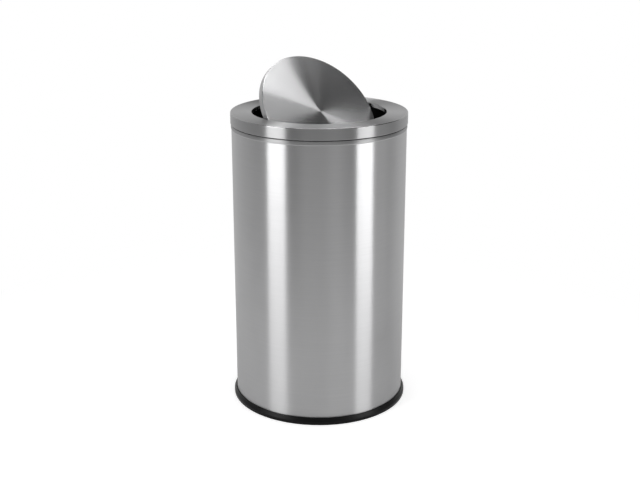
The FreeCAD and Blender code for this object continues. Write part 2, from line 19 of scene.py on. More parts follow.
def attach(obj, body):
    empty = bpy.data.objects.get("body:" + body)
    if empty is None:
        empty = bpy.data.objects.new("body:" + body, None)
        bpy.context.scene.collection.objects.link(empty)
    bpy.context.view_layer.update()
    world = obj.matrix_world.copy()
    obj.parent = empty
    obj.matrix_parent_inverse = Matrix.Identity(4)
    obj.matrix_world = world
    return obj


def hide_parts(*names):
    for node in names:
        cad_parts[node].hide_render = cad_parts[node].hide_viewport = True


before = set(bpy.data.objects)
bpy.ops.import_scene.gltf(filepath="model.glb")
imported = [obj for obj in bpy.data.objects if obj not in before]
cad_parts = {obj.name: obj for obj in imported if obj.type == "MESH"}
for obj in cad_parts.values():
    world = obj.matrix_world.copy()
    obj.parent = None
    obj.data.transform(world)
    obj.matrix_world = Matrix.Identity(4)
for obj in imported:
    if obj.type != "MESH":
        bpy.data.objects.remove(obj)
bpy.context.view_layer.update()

Array = np.ndarray
Material = bpy.types.Material
Node = bpy.types.Node
Socket = bpy.types.NodeSocket
Tree = bpy.types.NodeTree
Pair = tuple[float, float]
Triple = tuple[float, float, float]

MM = 0.001
TURN = 2 * math.pi
COLUMNS = 288  # columns of a large turned piece
EDGE = 0.3  # rounding of a cut edge, in millimetres
HAIR = 0.01  # what keeps the two arcs of a half round apart, in millimetres
SHARP_ANGLE = math.radians(32)
WALL_EASE = (0.0003, 0.00003)  # how far inside and outside its ends a wall's finish sets in, in metres
UV_NAME = "UVMap"
BLACK = (0.0, 0.0, 0.0)
WHITE = (1.0, 1.0, 1.0, 1.0)
log = logging.getLogger("swing_top_bin")


class Body(Enum):
    """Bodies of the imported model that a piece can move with."""

    BIN = "bin"
    LID = "lid"
    FLAP = "flap"


class Slot(Enum):
    """Material slots of the record."""

    BODY_STEEL = "stainless_body"
    LID_STEEL = "stainless_lid"
    FLAP_STEEL = "stainless_flap"
    PLAIN_STEEL = "plain_steel"
    ZINC_STEEL = "zinc_steel"
    WEIGHT_IRON = "weight_iron"
    FOOT_RUBBER = "foot_rubber"
    SEAL_RUBBER = "seal_rubber"
    LINER_PLASTIC = "liner_plastic"
    BUSH_NYLON = "bush_nylon"


Finishes = dict[Slot, Material]


@dataclass(frozen=True)
class Outline:
    """A flat profile: points and unit normals, both (n, 2) in millimetres, and whether it is a loop."""

    points: Array
    normals: Array
    loop: bool

    def run(self) -> Array:
        """Distance along the profile in metres, up to its start again."""
        return distances(self.points) * MM


@dataclass(frozen=True)
class Skin:
    """A grid surface whose rows follow a profile and whose columns go once round.

    points is (rows, columns, 3) in millimetres, run (rows + 1) the distance along the profile and turns
    (columns + 1) the share of a turn. normals is like points, or None where edges are sharp. Where the profile
    isn't a loop, its first and last rows are single points that close the surface.
    """

    points: Array
    normals: Array | None
    run: Array
    turns: Array
    loop: bool


@dataclass(frozen=True)
class Seat:
    """Where a drawn shape goes: its own axes as the columns of a matrix, and its origin in millimetres."""

    axes: Array
    origin: Array

    def put(self, skin: Skin) -> Skin:
        """The skin turned and shifted to this seat."""
        normals = None if skin.normals is None else skin.normals @ self.axes.T
        return replace(skin, points=skin.points @ self.axes.T + self.origin, normals=normals)

    def at(self, axes: Array, origin: Sequence[float]) -> "Seat":
        """A seat given in this seat's own axes."""
        return Seat(self.axes @ axes, self.axes @ np.asarray(origin, float) + self.origin)


LYING_ON_X = np.array([[0.0, 0.0, 1.0], [0.0, 1.0, 0.0], [-1.0, 0.0, 0.0]])


def unit(vectors: Array) -> Array:
    """Vectors scaled to length one."""
    return vectors / np.linalg.norm(vectors, axis=-1, keepdims=True)


def right_of(ways: Array) -> Array:
    """Flat directions turned a quarter to the right."""
    return np.stack([ways[:, 1], -ways[:, 0]], axis=1)


def ways_round(angles: Array) -> Array:
    """Flat unit vectors at angles."""
    return np.stack([np.cos(angles), np.sin(angles)], axis=1)


def rounded(corners: Sequence[Triple], loop: bool = True, steps: int = 7) -> Outline:
    """A polygon or open line whose corners are replaced by arcs.

    A corner P with radius R between the directions a and b turns by t. Its arc starts at P - a R tan(t / 2),
    its centre lies R to the inside of that, and its normal turns evenly from a's right-hand side to b's.

    Args:
        corners: across, up and radius of each corner, with the material on the left-hand side.
        loop: whether the last corner leads back to the first; an open line keeps its two ends as they are.
        steps: pieces of each arc.

    Returns:
        The points and their outward normals.
    """
    table = np.asarray(corners, float)
    spots, radii = table[:, :2], table[:, 2]
    inward = unit(spots - np.roll(spots, 1, axis=0))
    outward = np.roll(inward, -1, axis=0)
    cross = inward[:, 0] * outward[:, 1] - inward[:, 1] * outward[:, 0]
    bend = np.arctan2(cross, (inward * outward).sum(axis=1))
    hand = np.sign(bend)[:, None]
    side = right_of(inward)
    start = spots - inward * (radii * np.tan(np.abs(bend) / 2))[:, None]
    centre = start - side * radii[:, None] * hand
    angle = bend[:, None] * np.linspace(0.0, 1.0, steps + 1)
    cos, sin = np.cos(angle), np.sin(angle)
    normals = np.dstack([side[:, :1] * cos - side[:, 1:] * sin, side[:, :1] * sin + side[:, 1:] * cos])
    points = centre[:, None] + normals * (radii[:, None] * hand)[:, None]
    points, normals = points.reshape(-1, 2), normals.reshape(-1, 2)
    if not loop:
        inner = slice(steps + 1, -steps - 1)
        ends = right_of(np.stack([outward[0], inward[-1]]))
        points = np.vstack([spots[:1], points[inner], spots[-1:]])
        normals = np.vstack([ends[:1], normals[inner], ends[1:]])
    return Outline(points, normals, loop)


def distances(points: Array) -> Array:
    """Distance along a line of points, with the way back to its start as the last entry."""
    gaps = np.linalg.norm(np.roll(points, -1, axis=0) - points, axis=1)
    return np.hstack([[0.0], np.cumsum(gaps)])


def even_turn(columns: int, start: float = TURN / 4) -> Array:
    """Evenly spaced angles of one turn."""
    return start + np.arange(columns) * (TURN / columns)


ROUND = even_turn(COLUMNS)


def turned(outline: Outline, angles: Array = ROUND) -> Skin:
    """A profile carried round the upright axis: P(s, a) = (r(s) cos a, r(s) sin a, z(s)).

    Args:
        outline: radius and height along the profile.
        angles: angles of the columns, rising.

    Returns:
        The surface of revolution.
    """
    cos, sin, level = np.cos(angles), np.sin(angles), np.ones(len(angles))
    points, normals = (np.dstack([flat[:, :1] * cos, flat[:, :1] * sin, flat[:, 1:] * level])
                       for flat in (outline.points, outline.normals))
    turns = np.append(angles, angles[0] + TURN) / TURN
    return Skin(points, normals, distances(outline.points), turns, outline.loop)


def ribbed(radius: Array, level: Array, angles: Array, loop: bool) -> Skin:
    """A surface with sharp edges and a radius at each angle: P(s, a) = (r(s, a) cos a, r(s, a) sin a, z(s)).

    Args:
        radius: radius at each row and angle.
        level: height of each row.
        angles: angles of the columns, rising from nothing.
        loop: whether the last row leads back to the first.

    Returns:
        The surface.
    """
    points = np.dstack([radius * np.cos(angles), radius * np.sin(angles), level[:, None] + 0 * radius])
    return Skin(points, None, distances(points[:, 0]), np.linspace(0.0, 1.0, len(angles) + 1), loop)


def carried(section: Outline, path: Outline, edge: float, steps: int = 4) -> Skin:
    """A section carried along a flat path, with rounded ends.

    P(s, k) = path(s) + x(k) side + y(k) normal(s). Near each end the section shrinks along its own normals by
    edge (1 - cos p) at the depth edge (1 - sin p), for p from a quarter turn to none, and a middle point
    closes it.

    Args:
        section: closed section; x goes across the path's plane, y along the path's normal.
        path: open line in the plane of the first and third axes, with its normals on its right-hand side.
        edge: rounding radius at both ends.
        steps: pieces of that rounding.

    Returns:
        The closed surface, in axes where the path's plane holds the first and third.
    """
    quarter = np.linspace(TURN / 4, 0.0, steps + 1)
    last, ends = len(path.points) - 1, steps + 2
    lean = np.hstack([[-TURN / 4], -quarter, np.zeros(last - 1), quarter[::-1], [TURN / 4]])
    end = np.repeat([1.0, 0.0, -1.0], [ends, last - 1, ends])
    where = np.clip(np.arange(len(lean)) - ends + 1, 0, last)
    facing, ahead = path.normals[where], -right_of(path.normals)[where]
    spots = path.points[where] + ahead * (edge * (end + np.sin(lean)))[:, None]
    inset = edge * (1 - np.cos(lean))[:, None]
    side, up = section.normals.T
    across, rise = section.points[:, 0] - inset * side, section.points[:, 1] - inset * up
    across[[0, -1]], rise[[0, -1]] = 0.0, 0.0
    (x, z), (face_x, face_z) = spots.T[:, :, None], facing.T[:, :, None]
    points = np.dstack([x + face_x * rise, across, z + face_z * rise])
    wall = np.dstack([face_x * up, np.broadcast_to(side, rise.shape), face_z * up])
    front = np.insert(ahead, 1, 0.0, axis=1)[:, None]
    lean = lean[:, None, None]
    turns = distances(section.points)
    normals = wall * np.cos(lean) + front * np.sin(lean)
    return Skin(points[:, ::-1], normals[:, ::-1], distances(spots), turns / turns[-1], False)


def ring_faces(skin: Skin) -> tuple[Array, list[list[int]], Array]:
    """Vertices and faces of a skin, with its poles as single vertices.

    Args:
        skin: the grid surface.

    Returns:
        Indices of the grid points that become vertices, the faces, and the UVs of the faces' corners.
    """
    rows, columns = skin.points.shape[:2]
    grid = np.arange(rows * columns).reshape(rows, columns)
    if skin.loop:
        keep, index = grid.ravel(), np.vstack([grid, grid[:1]])
    else:
        keep, index = np.hstack([grid[1:-1].ravel(), grid[[0, -1], 0]]), grid - columns
        index[0], index[-1] = len(keep) - 2, len(keep) - 1
    beside = np.roll(index, -1, axis=1)
    faces = np.dstack([index[:-1], beside[:-1], beside[1:], index[1:]])
    run, turns = skin.run[:len(index)] * MM, skin.turns
    low, high, left, right = run[:-1], run[1:], turns[:-1], turns[1:]
    along, about = np.stack([low, low, high, high], axis=1), np.stack([left, right, right, left], axis=1)
    spots = np.stack(np.broadcast_arrays(along[:, None], about[None]), axis=3)
    if skin.loop:
        return keep, faces.reshape(-1, 4).tolist(), spots.ravel()
    spots[0, :, 0, 1] = spots[-1, :, 2, 1] = (left + right) / 2
    first, last = [0, 2, 3], [0, 1, 2]
    tips = np.vstack([faces[0][:, first], faces[-1][:, last]])
    tip_spots = np.vstack([spots[0][:, first], spots[-1][:, last]])
    return (keep, faces[1:-1].reshape(-1, 4).tolist() + tips.tolist(),
            np.hstack([spots[1:-1].ravel(), tip_spots.ravel()]))


def new_object(name: str, data: Any) -> bpy.types.Object:
    """A new object in the scene."""
    made = bpy.data.objects.new(name, data)
    bpy.context.scene.collection.objects.link(made)
    return made


def piece(body: Body, finishes: Finishes, name: str, skin: Skin, slot: Slot, *nodes: str) -> None:
    """Make a named piece from a skin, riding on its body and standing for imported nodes.

    Args:
        body: the body that it moves with.
        finishes: the material of each slot.
        name: name of the piece.
        skin: its surface in millimetres.
        slot: the record's slot of its finish.
        nodes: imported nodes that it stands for.
    """
    keep, faces, spots = ring_faces(skin)
    mesh = bpy.data.meshes.new(name)
    mesh.from_pydata((skin.points.reshape(-1, 3)[keep] * MM).tolist(), [], faces)
    mesh.uv_layers.new(name=UV_NAME).data.foreach_set("uv", spots.astype(np.float32))
    mesh.shade_smooth()
    if skin.normals is None:
        mesh.set_sharp_from_angle(angle=SHARP_ANGLE)
    else:
        mesh.normals_split_custom_set_from_vertices(unit(skin.normals.reshape(-1, 3)[keep]).tolist())
    mesh.materials.append(finishes[slot])
    made = new_object(name, mesh)
    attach(made, body.value)
    if nodes:
        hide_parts(*nodes)
    log.info("%s: %d faces on %s", name, len(faces), body.value)


def dress_node(node: str, finish: Material) -> None:
    """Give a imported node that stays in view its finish."""
    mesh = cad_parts[node].data
    mesh.materials.clear()
    mesh.materials.append(finish)
    log.info("%s: packed node with %s", node, finish.name)


@dataclass(frozen=True)
class Graph:
    """Adds and links the nodes of one shader tree."""

    tree: Tree

    def feed(self, node: Node, inputs: dict[str | int, Any]) -> None:
        """Set sockets of a node to values, or link them to other sockets."""
        for key, value in inputs.items():
            if isinstance(value, Socket):
                self.tree.links.new(value, node.inputs[key])
            else:
                node.inputs[key].default_value = value

    def add(self, kind: str, inputs: dict[str | int, Any] | None = None, **settings: Any) -> Any:
        """A new shader node.

        Args:
            kind: name of the node type, without what all shader nodes start with.
            inputs: values of its sockets, or sockets to link them to.
            settings: properties of the node.

        Returns:
            The node's outputs.
        """
        node = self.tree.nodes.new("ShaderNode" + kind)
        for key, value in settings.items():
            setattr(node, key, value)
        self.feed(node, inputs or {})
        return node.outputs

    def group(self, tree: Tree, **inputs: Any) -> Any:
        """The outputs of a shared group with these inputs."""
        return self.add("Group", inputs, node_tree=tree)

    def math(self, operation: str, *values: Any) -> Socket:
        """The result of a sum on values or sockets."""
        return self.add("Math", dict(enumerate(values)), operation=operation)[0]

    def span(self, value: Socket, low: float, high: float, to_low: float = 0.0,
             to_high: float = 1.0) -> Socket:
        """A value eased from one range to another and held at its ends."""
        inputs = {"Value": value, "From Min": low, "From Max": high, "To Min": to_low, "To Max": to_high}
        return self.add("MapRange", inputs, interpolation_type="SMOOTHSTEP")["Result"]

    def noise(self, place: Socket, scale: float, detail: float, roughness: float) -> Socket:
        """Soft noise between 0 and 1."""
        inputs = {"Vector": place, "Scale": scale, "Detail": detail, "Roughness": roughness}
        return self.add("TexNoise", inputs)["Fac"]

    def tint(self, factor: Socket, dark: Triple, light: Triple) -> Socket:
        """A colour between two colours."""
        inputs = {"Factor": factor, "A": (*dark, 1.0), "B": (*light, 1.0)}
        return self.add("Mix", inputs, data_type="RGBA")["Result"]

    def bump(self, height: Socket, strength: float, distance: float) -> Socket:
        """Normals of a surface with this height, of which one stands for a distance in metres."""
        inputs = {"Strength": strength, "Distance": distance, "Height": height}
        return self.add("Bump", inputs)[0]

    def parts(self, vector: Socket) -> Any:
        """The sockets X, Y and Z of a vector."""
        return self.add("SeparateXYZ", {0: vector})

    def object_place(self) -> Socket:
        """Coordinates of the object."""
        return self.add("TexCoord")["Object"]

    def surface_place(self) -> Socket:
        """The piece's own run and turn."""
        return self.add("UVMap", uv_map=UV_NAME)["UV"]

    def seen_plainly(self) -> Socket:
        """One for rays from the camera, from gloss or through glass, else nothing."""
        path = self.add("LightPath")
        gloss = self.math("MAXIMUM", path["Is Glossy Ray"], path["Is Transmission Ray"])
        return self.math("MAXIMUM", path["Is Camera Ray"], gloss)


def new_group(name: str, inputs: Sequence[str], outputs: Sequence[str]) -> tuple[Graph, Any, Node]:
    """An empty shader group that takes a place and some numbers and gives numbers.

    Args:
        name: the group's name.
        inputs: names of the numbers that it takes.
        outputs: names of the numbers that it gives.

    Returns:
        A graph on the group, the sockets of its inputs and its output node.
    """
    tree = bpy.data.node_groups.new(name, "ShaderNodeTree")
    tree.interface.new_socket(name="Place", in_out="INPUT", socket_type="NodeSocketVector")
    for direction, sockets in (("INPUT", inputs), ("OUTPUT", outputs)):
        for socket in sockets:
            tree.interface.new_socket(name=socket, in_out=direction, socket_type="NodeSocketFloat")
    return Graph(tree), tree.nodes.new("NodeGroupInput").outputs, tree.nodes.new("NodeGroupOutput")


def brush_group() -> Tree:
    """Brush lines that run round a piece: noise that is fine along its run and long along its turn."""
    graph, given, out = new_group("Brush lines", ["Lines", "Reach"], ["Height", "Streaks"])
    run, turn, _ = graph.parts(given["Place"])
    angle = graph.math("MULTIPLY", turn, TURN)
    across, up = (graph.math("MULTIPLY", graph.math(wave, angle), given["Reach"])
                  for wave in ("COSINE", "SINE"))
    fine = graph.math("MULTIPLY", run, given["Lines"])
    coarse = graph.math("MULTIPLY", fine, 0.37)
    for name, along, detail in (("Height", fine, 3.0), ("Streaks", coarse, 2.0)):
        place = graph.add("CombineXYZ", {0: along, 1: across, 2: up})[0]
        graph.feed(out, {name: graph.noise(place, 1.0, detail, 0.6)})
    return graph.tree


def mask_group(name: str) -> tuple[Graph, Socket, Node]:
    """A group that is to give a mask: a graph on it, its place times its size, and its output node."""
    graph, given, out = new_group(name, ["Size"], ["Mask"])
    inputs = {0: given["Place"], "Scale": given["Size"]}
    return graph, graph.add("VectorMath", inputs, operation="SCALE")[0], out


def marks_group() -> Tree:
    """Soft marks of handling: two sizes of blotches, the small ones only inside the large ones."""
    graph, place, out = mask_group("Handling marks")
    large = graph.span(graph.noise(place, 1.0, 2.0, 0.5), 0.42, 0.72)
    small = graph.span(graph.noise(place, 5.3, 3.0, 0.6), 0.35, 0.75, 0.25)
    graph.feed(out, {"Mask": graph.math("MULTIPLY", large, small)})
    return graph.tree


def dust_group() -> Tree:
    """Dust that settles on faces that look up, broken by noise."""
    graph, place, out = mask_group("Settled dust")
    normal = graph.add("NewGeometry")["Normal"]
    lying = graph.span(graph.parts(normal)["Z"], 0.25, 0.95)
    broken = graph.span(graph.noise(place, 1.0, 4.0, 0.65), 0.35, 0.75, 0.15)
    graph.feed(out, {"Mask": graph.math("MULTIPLY", lying, broken)})
    return graph.tree


BRUSH = brush_group()
MARKS = marks_group()
DUST = dust_group()


class Finish:
    """A finish that is built as a material from what its sockets are to take."""

    name: str
    roughness: float
    unevenness: float

    @property
    def sheen(self) -> Pair:
        """Least and greatest roughness."""
        return self.roughness - self.unevenness, self.roughness + self.unevenness

    def sockets(self, graph: Graph) -> dict[str, Any]:
        """Values of the shader's own sockets, or sockets to link them to."""
        raise NotImplementedError

    def build(self) -> Material:
        """The finished material."""
        material = bpy.data.materials.new(self.name)
        material.use_nodes = True
        graph = Graph(material.node_tree)
        graph.feed(material.node_tree.nodes["Principled BSDF"], self.sockets(graph))
        return material


@dataclass(frozen=True)
class Wall:
    """A drawn wall, finished apart from the brushed faces: its start and end in metres along the profile, its
    roughness and a shade factor that paints shade into its colour.
    """

    start: float
    end: float
    roughness: float
    # a shade below one darkens the wall's colour: painted shade
    shade: float = 1.0

    def outside(self, graph: Graph) -> Socket:
        """Nothing on this wall and one elsewhere."""
        run = graph.parts(graph.surface_place())["X"]
        middle, half = (self.start + self.end) / 2, (self.end - self.start) / 2
        off = graph.math("ABSOLUTE", graph.math("SUBTRACT", run, middle))
        return graph.span(off, half - WALL_EASE[0], half + WALL_EASE[1])


@dataclass(frozen=True)
class BrushedSteel(Finish):
    """Stainless steel brushed round its axis, so that reflections stretch across the brush lines."""

    name: str
    walls: tuple[Wall, ...]
    tone: float = 0.465
    edge: float = 0.76
    streak_shade: float = 0.97
    streak_light: float = 1.015
    blue: float = 1.01
    roughness: float = 0.313
    unevenness: float = 0.006
    lines: float = 1500.0
    reach: float = 1.6
    relief: float = 0.000004
    smear_size: float = 9.0
    smear_shade: float = -0.20
    smear_dulling: float = 0.03

    def sockets(self, graph: Graph) -> dict[str, Any]:
        """What the shader takes."""
        brush = graph.group(BRUSH, Place=graph.surface_place(), Lines=self.lines, Reach=self.reach)
        smear = graph.group(MARKS, Place=graph.object_place(), Size=self.smear_size)["Mask"]
        streaks = brush["Streaks"]
        shade = graph.math("MULTIPLY_ADD", smear, self.smear_shade, graph.span(streaks, 0.25, 0.75))
        light = graph.span(shade, 0.0, 1.0, self.streak_shade)
        sheen = graph.span(streaks, 0.2, 0.8, *self.sheen)
        rough = graph.math("MULTIPLY_ADD", smear, self.smear_dulling, sheen)
        for wall in self.walls:
            outside = wall.outside(graph)
            above = graph.math("SUBTRACT", rough, wall.roughness)
            rough = graph.math("MULTIPLY_ADD", above, outside, wall.roughness)
            # painted shade: a wall's shade factor darkens the base colour on that wall
            light = graph.math("MULTIPLY", light, graph.span(outside, 0.0, 1.0, wall.shade))
        high = self.tone * self.streak_light
        tangent = graph.add("Tangent", direction_type="UV_MAP", uv_map=UV_NAME)
        return {
            "Metallic": 1.0, "Anisotropic": 1.0, "Specular Tint": (self.edge, self.edge, self.edge, 1.0),
            "Base Color": graph.tint(light, BLACK, (high, high, high * self.blue)), "Roughness": rough,
            "Normal": graph.bump(brush["Height"], 0.4, self.relief), "Tangent": tangent[0],
        }


@dataclass(frozen=True)
class PlatedSteel(Finish):
    """Plain or zinc-plated steel of small fittings: mottled sheen with fine scratches."""

    name: str
    dark: Triple
    light: Triple
    roughness: float
    unevenness: float = 0.05
    mottle_size: float = 160.0
    marks_size: float = 40.0
    marks_dulling: float = 0.12
    scratches: Triple = (90.0, 2200.0, 2200.0)
    relief: float = 0.00001

    def sockets(self, graph: Graph) -> dict[str, Any]:
        """What the shader takes."""
        place = graph.object_place()
        mottle = graph.span(graph.noise(place, self.mottle_size, 3.0, 0.6), 0.3, 0.7)
        marks = graph.group(MARKS, Place=place, Size=self.marks_size)["Mask"]
        stretched = graph.add("Mapping", {"Vector": place, "Scale": self.scratches})[0]
        sheen = graph.span(mottle, 0.0, 1.0, *self.sheen)
        return {
            "Metallic": 1.0, "Base Color": graph.tint(mottle, self.dark, self.light),
            "Roughness": graph.math("MULTIPLY_ADD", marks, self.marks_dulling, sheen),
            "Normal": graph.bump(graph.noise(stretched, 1.0, 2.0, 0.6), 0.35, self.relief),
        }


@dataclass(frozen=True)
class Moulded(Finish):
    """Moulded plastic or rubber: fine skin texture, scuffs and settled dust."""

    name: str
    colour: Triple
    scuff: Triple
    roughness: float
    specular: float
    grain: float
    relief: float
    dusty: float
    unevenness: float = 0.05
    scuff_size: float = 24.0
    scuff_share: float = 0.45
    dulling: float = 0.14
    dust_size: float = 70.0

    def sockets(self, graph: Graph) -> dict[str, Any]:
        """What the shader takes."""
        place = graph.object_place()
        marks = graph.group(MARKS, Place=place, Size=self.scuff_size)["Mask"]
        dust = graph.group(DUST, Place=place, Size=self.dust_size)["Mask"]
        settled = graph.math("MULTIPLY", dust, self.dusty)
        worn = graph.math("MAXIMUM", graph.math("MULTIPLY", marks, self.scuff_share), settled)
        skin = graph.noise(place, self.grain, 3.0, 0.55)
        sheen = graph.span(skin, 0.3, 0.7, *self.sheen)
        return {
            "Specular IOR Level": self.specular, "Base Color": graph.tint(worn, self.colour, self.scuff),
            "Roughness": graph.math("MULTIPLY_ADD", worn, self.dulling, sheen),
            "Normal": graph.bump(skin, 0.5, self.relief),
        }


@dataclass(frozen=True)
class Paper(Finish):
    """White studio paper: lit near the bin, and farther out it passes into the even white of the room."""

    name: str
    roughness: float = 0.9
    tone: float = 0.80
    glow: float = 0.52
    gloss: float = 0.28
    fade: Pair = (0.45, 1.10)
    speckle: float = 260.0

    def sockets(self, graph: Graph) -> dict[str, Any]:
        """What the shader takes."""
        place = graph.object_place()
        reach = graph.add("VectorMath", {0: place}, operation="LENGTH")["Value"]
        near = graph.span(reach, *self.fade, 1.0, 0.0)
        speckle = graph.span(graph.noise(place, self.speckle, 2.0, 0.5), 0.3, 0.7, 0.98)
        straight = graph.add("LightPath")["Is Camera Ray"]
        close = graph.span(straight, 0.0, 1.0, self.gloss, self.glow)
        spread = graph.math("MULTIPLY_ADD", near, graph.math("SUBTRACT", close, 1.0), 1.0)
        return {
            "Roughness": self.roughness, "Specular IOR Level": 0.0, "Emission Color": WHITE,
            "Base Color": graph.tint(graph.math("MULTIPLY", near, speckle), BLACK, (self.tone,) * 3),
            "Emission Strength": graph.math("MULTIPLY", graph.seen_plainly(), spread),
        }


FITTINGS: dict[Slot, Finish] = {
    Slot.PLAIN_STEEL: PlatedSteel("Plain_steel", (0.24, 0.24, 0.245), (0.34, 0.34, 0.345), 0.42),
    Slot.ZINC_STEEL: PlatedSteel("Zinc_steel", (0.40, 0.41, 0.43), (0.55, 0.56, 0.57), 0.30),
    Slot.WEIGHT_IRON: Moulded(
        "Weight_paint", (0.016, 0.016, 0.017), (0.05, 0.048, 0.046), 0.42, 0.5, 420.0, 0.00012, 0.25),
    Slot.FOOT_RUBBER: Moulded(
        "Foot_rubber", (0.0026, 0.0026, 0.0028), (0.008, 0.008, 0.0085), 0.36, 0.15, 1900.0, 0.00003, 0.2),
    Slot.SEAL_RUBBER: Moulded(
        "Seal_rubber", (0.012, 0.012, 0.012), (0.030, 0.030, 0.030), 0.60, 0.25, 1600.0, 0.00003, 0.2),
    Slot.LINER_PLASTIC: Moulded(
        "Liner_plastic", (0.004, 0.004, 0.0042), (0.010, 0.010, 0.0105), 0.52, 0.25, 1400.0, 0.00004, 0.3),
    Slot.BUSH_NYLON: Moulded(
        "Bush_nylon", (0.020, 0.020, 0.021), (0.045, 0.045, 0.046), 0.38, 0.45, 900.0, 0.00001, 0.3),
}


@dataclass(frozen=True)
class BinBody:
    """Rolled shell with a folded rim and a weld seam, its base pan, foot ring and liner."""

    inner: float = 187.1
    outer: float = 188.0
    foot: float = 4.0
    top: float = 619.9
    cut: float = 0.2
    hem_outer: float = 189.1
    hem_foot: float = 611.1
    hem_step: float = 0.15
    hem_rise: float = 2.42
    hem_fall: float = 3.4
    hem_lean: float = 0.44
    hem_swell: float = 12.0
    crest: float = 0.85
    rim_roughness: float = 0.47
    # painted shade: the folded rim's colour is darkened as if in the skirt's shadow
    rim_painted_shade: float = 0.90
    seam_width: float = 1.1
    seam_rise: float = 0.12
    seam_reach: float = 3.0
    seam_columns: int = 25
    foot_outer: float = 194.47
    foot_shoulder: float = 6.5
    foot_swell: float = 5.0
    foot_top: float = 15.0
    foot_lip: float = 190.5
    channel: Pair = (185.9, 188.1)
    leg_inner: float = 180.9
    leg_top: float = 11.0
    leg_edge: float = 0.4
    pan_outer: float = 187.0
    pan_gauge: float = 1.0
    pan_bend: float = 1.5
    pan_top: float = 14.0
    beads: tuple[float, ...] = (60.0, 130.0)
    bead_width: float = 12.0
    bead_depth: float = 1.6
    liner_floor: float = 17.0
    liner_base: Pair = (163.3, 165.5)
    liner_bend: Pair = (6.0, 8.2)
    liner_mouth: Pair = (174.3, 176.5)
    liner_rim: Pair = (180.8, 183.0)
    liner_levels: Triple = (621.0, 628.8, 631.0)
    liner_edges: Triple = (0.5, 0.8, 0.9)

    def shell_section(self) -> Outline:
        """The sheet's section, up its outside and over the folded rim."""
        return rounded([
            (self.inner, self.foot, self.cut), (self.outer, self.foot, self.cut),
            (self.outer, self.hem_foot, self.hem_step), (self.outer + self.hem_step, self.hem_foot, EDGE / 3),
            (self.hem_outer, self.hem_foot + self.hem_rise, self.hem_swell / 2),
            (self.hem_outer, self.top - self.hem_fall, self.hem_swell),
            (self.outer + self.hem_lean, self.top, self.crest / 2), (self.inner, self.top, self.crest / 2),
        ])

    def walls(self) -> tuple[Wall, ...]:
        """The folded rim's outside: duller than the sheet, and darkened with painted shade where the skirt
        overhangs it.
        """
        outline = self.shell_section()
        start = np.flatnonzero(outline.points[:, 0] > (self.outer + self.hem_outer) / 2)[0]
        end = np.flatnonzero(outline.normals[:, 0] > 0.1)[-1]
        return (Wall(*outline.run()[[start, end]], self.rim_roughness, self.rim_painted_shade),)

    def shell(self) -> Skin:
        """The rolled sheet, turned from its section; a weld bead at the back adds h exp(-(x / w)^2)."""
        outline = self.shell_section()
        offset = np.linspace(-self.seam_reach, self.seam_reach, self.seam_columns)
        bead = offset * self.seam_width / self.outer
        spread = np.linspace(bead[-1], TURN + bead[0], COLUMNS)[1:-1]
        angles = TURN / 4 + np.hstack([bead, spread])
        skin = turned(outline, angles)
        bell = self.seam_rise * np.exp(-offset ** 2)
        rise, slope = (np.pad(values, (0, len(spread)))[:, None]
                       for values in (bell, -2 * offset * bell / self.seam_width))
        ways = ways_round(angles)
        out, along = (np.insert(flat, 2, 0.0, axis=1) for flat in (ways, -right_of(ways)))
        normals = skin.normals - along * slope * outline.normals[:, :1, None]
        return replace(skin, points=skin.points + out * rise, normals=normals)

    def foot_ring(self) -> Skin:
        """The moulded ring under the shell, turned from its section."""
        low, high = self.channel
        return turned(rounded([
            (self.leg_inner, 0.0, 2 * EDGE), (self.foot_outer, 0.0, 2 * EDGE),
            (self.foot_outer, self.foot_shoulder, self.foot_swell), (self.foot_lip, self.foot_top, 2 * EDGE),
            (high, self.foot_top, EDGE), (high, self.foot, EDGE), (low, self.foot, EDGE),
            (low, self.leg_top, self.leg_edge), (self.leg_inner, self.leg_top, 2 * EDGE),
        ]))

    def base_pan(self) -> Skin:
        """The pressed floor with round beads, turned from its section."""
        under, rim = self.pan_top - self.pan_gauge, self.pan_outer - self.pan_gauge
        return turned(rounded([
            (0.0, under, 0.0), *self.bead_row(under), (rim, under, self.pan_bend), (rim, self.foot, EDGE),
            (self.pan_outer, self.foot, EDGE), (self.pan_outer, self.pan_top, self.pan_bend + self.pan_gauge),
            *reversed(self.bead_row(self.pan_top)), (0.0, self.pan_top, 0.0),
        ], loop=False, steps=5), even_turn(COLUMNS // 2))

    def bead_row(self, level: float) -> list[Triple]:
        """Corners of the pressed beads in one face of the base pan, from the middle outwards."""
        shape = ((-2, 0.0), (-1, self.bead_depth), (1, self.bead_depth), (2, 0.0))
        return [(middle + step * self.bead_width / 4, level - depth, self.pan_bend)
                for middle in self.beads for step, depth in shape]

    def liner(self) -> Skin:
        """The tapered bucket with a turned-down rim, turned from its section."""
        (foot, under, top), (cut, fold, brim) = self.liner_levels, self.liner_edges
        (base, outer_base), (bend, outer_bend) = self.liner_base, self.liner_bend
        (mouth, outer_mouth), (rim, outer_rim) = self.liner_mouth, self.liner_rim
        return turned(rounded([
            (0.0, self.pan_top, 0.0), (outer_base, self.pan_top, outer_bend), (outer_mouth, under, fold),
            (rim, under, fold), (rim, foot, cut), (outer_rim, foot, cut), (outer_rim, top, brim),
            (mouth, top, brim), (base, self.liner_floor, bend), (0.0, self.liner_floor, 0.0),
        ], loop=False))

    def build(self, finishes: Finishes) -> None:
        """Make and dress the pieces that stand still."""
        make = partial(piece, Body.BIN, finishes)
        make("Body_shell", self.shell(), Slot.BODY_STEEL, "body_shell")
        make("Foot_ring", self.foot_ring(), Slot.FOOT_RUBBER, "base_trim")
        make("Base_pan", self.base_pan(), Slot.PLAIN_STEEL, "base_pan")
        make("Liner_bucket", self.liner(), Slot.LINER_PLASTIC, "liner_bucket")


